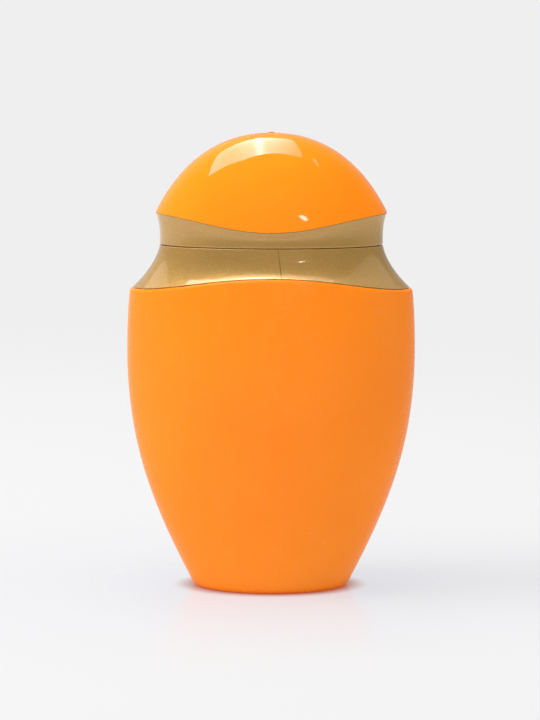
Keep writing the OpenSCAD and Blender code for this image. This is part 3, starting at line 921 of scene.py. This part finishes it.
# %% Material helpers
def new_material(name, **constants):
    """A material with a Principled shader, its object coordinates and its constants set on the shader."""
    made = bpy.data.materials.new(name)
    made.use_nodes = True
    shader = made.node_tree.nodes["Principled BSDF"]
    for key, value in constants.items():
        shader.inputs[key.replace("_", " ")].default_value = value
    return made, shader.inputs, node(made.node_tree, "TexCoord").outputs["Object"]


def waxy(ior, weight, depth, colours):
    """Constants of a plastic that light enters: how much of it, how deep, and how deep each colour goes."""
    return {"IOR": ior, "Subsurface_Weight": weight, "Subsurface_Scale": depth, "Subsurface_Radius": colours}


def effect(group, first, **inputs):
    """A group's outputs in a material, with its first input linked and the others set."""
    made = node(first.id_data, "Group", node_tree=group)
    feed(made.inputs[0], first)
    for key, value in inputs.items():
        feed(made.inputs[key.replace("_", " ")], value)
    return made.outputs


def skin(place, wave_scale, wave_depth, grain_scale, grain_depth=0.002):
    """Height of the moulded skin in a material."""
    waves = {"Wave_scale": wave_scale, "Wave_depth": wave_depth}
    return effect(moulded_skin_group, place, **waves, Grain_scale=grain_scale, Grain_depth=grain_depth)["Height"]


def marks_on(place, scratch_scale, patch_scale):
    """Scratches and dull patches in a material."""
    marks = effect(handling_marks_group, place, Scratch_scale=scratch_scale, Patch_scale=patch_scale)
    return marks["Scratches"], marks["Patches"]


def surface(shader, colour, roughness, height, normal=None):
    """Feeds the shader with a colour, a roughness and the normal of a height in millimetres."""
    bump = node(height.id_data, "Bump", Distance=MM, Height=height)
    if normal is not None:
        feed(bump.inputs["Normal"], normal)
    for label, value in (("Base Color", colour), ("Roughness", roughness), ("Normal", bump.outputs[0])):
        feed(shader[label], value)

# %% [markdown]
# ### Satin orange polyethylene
#
# The bottle's plastic is pigmented through and through, slightly waxy, and has a fine satin grain from the blasted
# mould. A little light enters it, so it gets a small subsurface share. Its two mould halves met in the plane Y = 0,
# which leaves a hairline down each narrow side.

# %% Material of the bottle
ORANGE_DEPTHS = (1.0, 0.35, 0.1)
SATIN_COLOURS = (0.845, 0.203, 0.007, 1), (0.88, 0.225, 0.009, 1)
SCRATCH_COLOUR = (0.95, 0.4, 0.12, 1)
SEAM_HEIGHT = 0.05


def orange_satin():
    """Pigmented polyethylene with a satin grain, faint colour drift, dull patches and the mould's hairline."""
    inside = waxy(1.5, 0.08, 0.002, ORANGE_DEPTHS)
    material, shader, place = new_material("orange_satin", Specular_IOR_Level=0.18, **inside)
    scratches, patches = marks_on(place, 55.0, 60.0)
    body = mixed(drift(place, 28.0, detail=3.0), *SATIN_COLOURS)
    colour = mixed(times(scratches, 0.25), body, SCRATCH_COLOUR)
    roughness = added(drift(place, 1800.0, 0.2, 0.26), times(patches, 0.07), times(scratches, 0.15))
    seam = effect(mould_line_group, axes(place)["Y"], Width=0.0002)["Line"]
    surface(shader, colour, roughness, added(skin(place, 90.0, 0.02, 2600.0, 0.001), times(seam, SEAM_HEIGHT)))
    return material

# %% [markdown]
# ### Glossy orange dome
#
# The dome comes from a polished mould, so the softbox shows in it with nearly sharp edges. The waves are long and
# very shallow. Dust-fine scratches only show in the roughness.

# %% Material of the dome
GLOSS_COLOURS = (0.91, 0.224, 0.006, 1), (0.94, 0.244, 0.008, 1)


def orange_gloss():
    """High-gloss orange plastic with slight waviness and hairline scratches."""
    inside = waxy(1.5, 0.06, 0.0015, ORANGE_DEPTHS)
    material, shader, place = new_material("orange_gloss", Specular_IOR_Level=0.5, **inside)
    scratches, patches = marks_on(place, 80.0, 70.0)
    colour = mixed(drift(place, 30.0, detail=3.0), *GLOSS_COLOURS)
    roughness = added(drift(place, 900.0, 0.03, 0.045), times(patches, 0.02), times(scratches, 0.12))
    surface(shader, colour, roughness, skin(place, 110.0, 0.012, 1500.0, 0.0004))
    return material

# %% [markdown]
# ### Gold pearl plastic
#
# Collar and skirt are moulded from clear plastic filled with gold mica. Light passes a smooth surface first, which
# gives a sharp weak reflection, and then meets the platelets below, which give a broad metallic glow and single
# flashes. The Principled shader has a layer for each: its coat is the surface and its base is the pearl.
#
# Where the molten plastic closed up round the collar it left a weld line, a slanting hairline that is darker and a
# little lower. It reuses the mould line's effect, with an offset that leans as it goes down.

# %% Weld line of the collar
WELD_X, WELD_LEAN, WELD_DEPTH, WELD_WIDTH = 1.8, 0.12, 0.02, 0.00028
WELD_FADE = (0.0, 0.005, 0.3, 1.0)


def weld_line(place):
    """A slanting hairline on the collar's wide face, faint at the parting line and stronger at its lower edge."""
    x, y, z = axes(place)
    below = math_node("SUBTRACT", seam_z * MM, z)
    centre = added(times(below, WELD_LEAN), WELD_X * MM)
    line = effect(mould_line_group, math_node("SUBTRACT", x, centre), Width=WELD_WIDTH)["Line"]
    on_face = math_node("LESS_THAN", y, 0.0)
    on_collar = math_node("GREATER_THAN", below, 0.0)
    return times(line, on_face, ranged(below, *WELD_FADE), on_collar)


# %% Material of the gold pieces
PEARL_COLOURS = (0.470, 0.266, 0.064, 1), (0.490, 0.280, 0.070, 1)
FLECK_COLOUR = (0.55, 0.335, 0.08, 1)
WELD_COLOUR = (0.17, 0.09, 0.02, 1)
FLOW_STRETCH = (1.0, 1.0, 3.5)


def gold_plastic():
    """Gold pearl plastic: flakes under a clear smooth skin, with flow marks and the collar's weld line."""
    coat = {"Coat_Weight": 1.0, "Coat_Roughness": 0.04, "Coat_IOR": 1.5}
    material, shader, place = new_material("gold_plastic", Metallic=0.62, Specular_IOR_Level=0.5, **coat)
    flake = effect(pearl_flake_group, place, Scale=5200.0, Tilt=0.28, Rarity=0.92)
    flow = node(place.id_data, "Mapping", Vector=place, Scale=FLOW_STRETCH).outputs[0]
    pearl = mixed(drift(flow, 120.0, detail=3.0, roughness=0.6), *PEARL_COLOURS)
    fleck = mixed(flake["Flash"], pearl, FLECK_COLOUR)
    weld = weld_line(place)
    colour = mixed(times(weld, 0.85), fleck, WELD_COLOUR)
    _, patches = marks_on(place, 90.0, 80.0)
    roughness = added(drift(place, 2600.0, 0.39, 0.45), times(flake["Flash"], -0.04), times(patches, 0.02))
    height = added(skin(place, 140.0, 0.006, 1500.0, 0.0004), times(weld, -WELD_DEPTH))
    surface(shader, colour, roughness, height, flake["Normal"])
    return material

# %% [markdown]
# ### White and natural plastics, steel
#
# The pump is white polypropylene, and its tube, piston and seats are the same plastic without pigment, which is milky
# and a little see-through. The spring and the ball are bright stainless steel.

# %% Materials of the pump
WHITE_COLOURS = (0.80, 0.80, 0.785, 1), (0.86, 0.86, 0.85, 1)
NATURAL_COLOURS = (0.72, 0.74, 0.72, 1), (0.82, 0.83, 0.80, 1)
STEEL_COLOURS = (0.52, 0.53, 0.55, 1), (0.66, 0.66, 0.67, 1)


def white_plastic():
    """White polypropylene with a fine grain."""
    material, shader, place = new_material("white_plastic", **waxy(1.49, 0.1, 0.001, (1.0, 0.9, 0.8)))
    tint = mixed(noise(place, 90.0), *WHITE_COLOURS)
    _, patches = marks_on(place, 120.0, 160.0)
    surface(shader, tint, ranged(patches, 0, 1, 0.26, 0.36), skin(place, 300.0, 0.008, 3500.0))
    return material


def natural_plastic():
    """Milky unpigmented polypropylene."""
    material, shader, place = new_material("natural_plastic", **waxy(1.49, 0.5, 0.002, (1.0, 1.0, 0.9)))
    tint = mixed(noise(place, 150.0), *NATURAL_COLOURS)
    surface(shader, tint, drift(place, 400.0, 0.3, 0.42), skin(place, 400.0, 0.006, 2500.0))
    return material


def steel():
    """Drawn stainless steel."""
    material, shader, place = new_material("steel", Metallic=1.0)
    tint = mixed(noise(place, 500.0), *STEEL_COLOURS)
    brushed = times(noise(place, 4000.0), 0.002)
    surface(shader, tint, drift(place, 3000.0, 0.18, 0.3), brushed)
    return material

# %% [markdown]
# A piece takes the finish of the plastic it is moulded in. The frame's own pieces, such as the dip tube, get theirs
# by name.

# %% Put the materials on every piece
FINISHES = (orange_satin, orange_gloss, gold_plastic, white_plastic, natural_plastic, steel)
NATURAL_NODES = ("neck_gasket", "pump_housing", "dip_tube", "spring_seat", "stem_tip", "pump_piston")

finishes = {finish.__name__: finish() for finish in FINISHES}
cad = frame["nodes"]
wearers = {
    "orange_satin": (bottle, ridge),
    "orange_gloss": (dome, gate),
    "gold_plastic": (collar, skirt),
    "white_plastic": (liner, closure, guide, head, insert, cad["pump_stem"]),
    "natural_plastic": [cad[name] for name in NATURAL_NODES],
    "steel": (coil, cad["inlet_ball"]),
}


def dress(thing, material):
    """Gives an object one material in all its slots."""
    if not thing.data.materials:
        thing.data.materials.append(material)
    for place in range(len(thing.data.materials)):
        thing.data.materials[place] = material


for finish, things in wearers.items():
    for thing in things:
        dress(thing, finishes[finish])
    print(f"{finish}: {len(things)} pieces")

# %% [markdown]
# ## Table and surroundings
#
# The bottle stands on a pale, slightly glossy table that fades into an equally pale wall. A white room would wash the
# orange out, because its reflection would lie on everything. In a studio only the wall, the table and the sides are
# bright, and the side of the camera is dim. So the world shows its even pale grey to the camera, and to every other
# ray a room that gets dimmer towards the front and the right.

# %% World
PALE = 0.863
ROOM_FRONT, ROOM_DEPTH = 0.20, (-0.2, 0.9)
ROOM_LEFT, ROOM_RIGHT = 0.95, 0.35

scene.view_settings.view_transform = "Standard"


def room():
    """Pale grey for the camera, and a room that dims towards the camera's side for everything else."""
    world = bpy.data.worlds.new("room")
    world.use_nodes = True
    tree = world.node_tree
    x, y, _ = axes(node(tree, "TexCoord").outputs["Generated"])
    depth = ranged(y, *ROOM_DEPTH, ROOM_FRONT, PALE, True)
    seen = times(depth, ranged(x, -1.0, 1.0, ROOM_LEFT, ROOM_RIGHT))
    camera_ray = node(tree, "LightPath").outputs["Is Camera Ray"]
    feed(tree.nodes["Background"].inputs["Color"], chosen(camera_ray, seen, PALE))
    return world


scene.world = room()
print(f"world: {PALE} to the camera, {ROOM_FRONT} to {PALE} from front to back in reflections")

# %% [markdown]
# The table is mixed by Fresnel from a matt part and a blurred mirror that fades away from the foot. The matt part is
# mostly its own glow, so that it keeps one even tone under a faint shadow. Right at the foot the glow is painted a
# dark orange-red, a painted contact shade with the bottle's orange bounce light in it, and near the foot, where the
# mirror lies, a faint blue-pink, a painted tint of the reflection. In reflections the glow gets dimmer towards the
# front and the right, where the real room is darker, and the light that it throws on the bottle is a little more than
# is seen.

# %% Table
TABLE_HALF = 30.0
TABLE_ALBEDO, TABLE_GLOW, TABLE_IOR = 0.06, 0.765, 1.4
NEAR = (0.15, 0.7)
# The glow near the foot is painted a faint blue-pink as a painted reflection tint, and right at the foot a dark
# orange-red as a painted contact shade with orange bounce light.
MIRROR_REACH, MIRROR_BLUR, PAINTED_REFLECTION_TINT = 0.09, 0.22, (1.0, 1.0, 1.06, 1)
CONTACT_WIDTH, PAINTED_CONTACT_SHADE = 0.0045, (0.58, 0.12, 0.03, 1)
FRONT_FADE, RIGHT_FADE = (-0.9, -0.12, 0.3, 1.3), (-0.6, 1.0, 1.0, 0.45)
THROWN = 1.3
WHITE = (1, 1, 1, 1)


def bare_material(name):
    """A material without a shader, its object coordinates and the input that takes its surface."""
    made = bpy.data.materials.new(name)
    made.use_nodes = True
    tree = made.node_tree
    tree.nodes.remove(tree.nodes["Principled BSDF"])
    return made, tree, node(tree, "TexCoord").outputs["Object"], tree.nodes["Material Output"].inputs["Surface"]


def in_reflections(place):
    """1 for the camera; more for light that the table throws back, and for mirrors dimmer at the front and right."""
    x, y, _ = axes(place)
    path = node(place.id_data, "LightPath").outputs
    thrown = ranged(path["Is Diffuse Ray"], 0.0, 1.0, 1.0, THROWN)
    mirrored = times(ranged(y, *FRONT_FADE, True), ranged(x, *RIGHT_FADE))
    return chosen(path["Is Glossy Ray"], thrown, mirrored)


def table_material():
    """A pale matt part and a blurred mirror, mixed by Fresnel, that both fade with the distance from the foot; its
    glow holds a painted contact shade and a painted reflection tint there.
    """
    material, tree, place, output = bare_material("pale_table")
    foot_sized = (1 / (FOOT[0] * MM), 1 / (FOOT[1] * MM), 0)
    ratio = vector("LENGTH", vector("MULTIPLY", place, in_1=foot_sized)[0])["Value"]
    away = times(math_node("SUBTRACT", ratio, 1.0), FOOT[1] * MM)
    near = ranged(vector("LENGTH", place)["Value"], *NEAR, 1.0, 0.0, True)
    albedo = times(near, TABLE_ALBEDO)
    grey = node(tree, "CombineColor", in_0=albedo, in_1=albedo, in_2=albedo).outputs[0]
    glow = times(ranged(near, 0.0, 1.0, PALE, TABLE_GLOW), in_reflections(place))
    fading = math_node("POWER", ranged(away, 0.0, MIRROR_REACH, 1.0, 0.0), 2.0)
    lit = ranged(away, 0.0, CONTACT_WIDTH, 0.0, 1.0, True)
    # Painted contact shade and painted reflection tint: the glow is dark orange-red right at the foot and faint
    # blue-pink near it.
    tint = mixed(lit, PAINTED_CONTACT_SHADE, mixed(fading, WHITE, PAINTED_REFLECTION_TINT))
    matt = node(tree, "BsdfDiffuse", Color=grey).outputs[0]
    shine = node(tree, "Emission", Color=tint, Strength=glow).outputs[0]
    body = node(tree, "AddShader", in_0=matt, in_1=shine).outputs[0]
    mirror = node(tree, "BsdfAnisotropic", Color=WHITE, Roughness=MIRROR_BLUR).outputs[0]
    share = times(node(tree, "Fresnel", IOR=TABLE_IOR).outputs[0], fading)
    feed(output, node(tree, "MixShader", in_0=share, in_1=body, in_2=mirror).outputs[0])
    return material


def table():
    """The table's top, a plane at the height of the bottle's foot."""
    top = bmesh.new()
    bmesh.ops.create_grid(top, x_segments=1, y_segments=1, size=TABLE_HALF)
    made = placed("table", mesh_from(top, "table"))
    made.data.materials.append(table_material())
    made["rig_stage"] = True
    return made


table_top = table()
print(f"table: {2 * TABLE_HALF:.0f} m wide, glow {TABLE_GLOW} near the bottle and {PALE} far off")

# %% [markdown]
# ## Lights
#
# The photograph tells where the lights stand. The dome mirrors a large softbox overhead, whose outline can be
# followed back from the dome's reflection, and a small lamp at the right of the camera. The body is lighter on its
# left, so a broad light stands there. Broad fills that would show as a second reflection are hidden from mirror rays.
#
# Some lamps light only a part of the scene, named by a collection: the gold pieces have large soft glows of their own,
# and one lamp that only the table sees throws the soft shadow.

# %% Lamp helpers
from mathutils import Euler, Quaternion, Vector

AIM = Vector((0, 0, 0.07))


def lamp(name, place, size, power, onto, mirrored=True, roll=0):
    """An oval area light at a place in metres, turned to the bottle and rolled, that only lights one collection."""
    light = bpy.data.lights.new(name, "AREA")
    light.shape = "ELLIPSE"
    light.size, light.size_y = size
    light.energy = power
    made = placed(name, light)
    made.location = place
    towards = (AIM - Vector(place)).to_track_quat("-Z", "Y")
    made.rotation_euler = (towards @ Quaternion((0, 0, 1), roll)).to_euler()
    made.visible_camera = False
    made.visible_glossy = mirrored
    made.light_linking.receiver_collection = onto
    print(f"{name}: {power} W on {onto.name}, {(AIM - Vector(place)).length:.2f} m away")


def lit_group(name, things):
    """A collection that lamps can be limited to."""
    made = bpy.data.collections.new(name)
    for thing in things:
        made.objects.link(thing)
    return made


whole_object = lit_group("whole_object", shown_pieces())
gold_pieces = lit_group("gold_pieces", (collar, skirt))
only_table = lit_group("only_table", [table_top])

# %% [markdown]
# The softbox is a flat panel of cloth that is brighter on its left. The lamp behind it shines through as a wide halo,
# and its tube as a narrow bright band, which is the streak in the dome's highlight.

# %% Softbox overhead
SOFTBOX_HEIGHT, SOFTBOX_RAISE = 0.75, 0.12
SOFTBOX_BACK = (-0.94, -0.46), (-0.59, 0.33), (-0.10, 0.64), (0.17, 0.56)
SOFTBOX_FRONT = (0.34, -0.36), (0.02, -0.30), (-0.31, -0.46)
SOFTBOX_COLOUR = (1.0, 0.97, 1.02, 1)
CLOTH_ENDS, CLOTH_LEFT, CLOTH_RIGHT = (-0.95, 0.35), 6.8, 2.1
LAMP_X = -0.10
HALO_STRENGTH, HALO_WIDTH = 5.0, 0.24
TUBE_STRENGTH, TUBE_WIDTH = 8.0, 0.035


def bell(distance, width, height):
    """A bell curve over the distance from its middle."""
    share = math_node("DIVIDE", distance, width)
    return times(math_node("EXPONENT", times(share, share, -1.0)), height)


def softbox_cloth():
    """Glowing cloth, brighter at its left, with the halo and the tube of the lamp behind it."""
    material, tree, place, output = bare_material("softbox_cloth")
    across = math_node("DIVIDE", axes(place)["X"], SOFTBOX_HEIGHT)
    cloth = ranged(across, *CLOTH_ENDS, CLOTH_LEFT, CLOTH_RIGHT)
    from_lamp = math_node("SUBTRACT", across, LAMP_X)
    halo = bell(from_lamp, HALO_WIDTH, HALO_STRENGTH)
    tube = bell(from_lamp, TUBE_WIDTH, TUBE_STRENGTH)
    glow = node(tree, "Emission", Color=SOFTBOX_COLOUR, Strength=added(cloth, halo, tube))
    feed(output, glow.outputs[0])
    return material


def softbox():
    """A glowing panel overhead with the outline that the dome mirrors."""
    panel = bmesh.new()
    high = SOFTBOX_HEIGHT + SOFTBOX_RAISE
    outline = SOFTBOX_BACK + SOFTBOX_FRONT
    panel.faces.new([panel.verts.new((x * SOFTBOX_HEIGHT, y * SOFTBOX_HEIGHT, high)) for x, y in outline])
    made = placed("softbox", mesh_from(panel, "softbox"))
    made.data.materials.append(softbox_cloth())
    made.visible_camera = False
    made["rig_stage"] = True
    print(f"softbox: {len(outline)} corners, {high:.2f} m above the table")


softbox()

# %% [markdown]
# Three broad fills stay out of the mirror images. A small spot at the camera's right and three bulbs far off show as
# glints on the dome.

# %% Lamps round the bottle
lamp("left_fill", (-0.85, -0.4, 0.32), (0.7, 0.7), 6.0, whole_object, mirrored=False)
lamp("front_fill", (0.1, -0.9, 0.35), (0.6, 0.5), 2.3, whole_object, mirrored=False)
lamp("right_fill", (0.8, -0.25, 0.3), (0.5, 0.6), 1.9, whole_object, mirrored=False)
lamp("front_spot", (0.281, -0.926, 0.416), (0.084, 0.03), 0.1, whole_object, roll=-0.46)
for count, place in enumerate(((0.43, -0.241, 0.998), (0.453, -0.241, 0.986), (0.475, -0.328, 0.946))):
    lamp(f"far_bulb_{count}", place, (0.014, 0.014), 0.03, whole_object)
lamp("left_glow", (-0.80, 0.20, 0.66), (0.5, 0.5), 0.7, gold_pieces)
lamp("right_glow", (0.72, 0.0, 0.75), (1.0, 1.0), 1.3, gold_pieces)
lamp("top_glow", (0.05, -0.42, 1.00), (1.0, 0.4), 1.8, gold_pieces)
lamp("table_lamp", (-1.1, -0.1, 0.85), (0.6, 0.6), 38.0, only_table, mirrored=False)

# %% [markdown]
# ## Camera
#
# The camera's place was worked out from the photograph: it looks down by 8.6 degrees from half a metre away, a little
# above the cap, and is rolled by 0.12 degrees, as a camera in the hand is. The lens follows from the height that the
# bottle takes in the frame.

# %% Camera
FRAME_PIXELS = (540, 720)
FOCAL_PIXELS = 1816.16
SENSOR = 36.0
CAMERA_PLACE = (-0.00028, -0.500, 0.1398)
CAMERA_PITCH, CAMERA_ROLL = 8.608, 0.12


def camera():
    """The photograph's camera."""
    data = bpy.data.cameras.new("camera")
    data.sensor_fit = "AUTO"
    data.sensor_width = SENSOR
    data.lens = FOCAL_PIXELS * SENSOR / max(FRAME_PIXELS)
    data.clip_end = 100
    made = placed("camera", data)
    made.location = CAMERA_PLACE
    pitch = Euler((math.radians(90 - CAMERA_PITCH), 0, 0)).to_quaternion()
    made.rotation_euler = (pitch @ Quaternion((0, 0, 1), math.radians(CAMERA_ROLL))).to_euler()
    return made


scene.camera = camera()
print(f"lens {scene.camera.data.lens:.1f} mm, {-CAMERA_PLACE[1]:.2f} m from the bottle")

# %% [markdown]
# ## End
#
# The visual model has to stay as large as the frame.

# %% End
import json
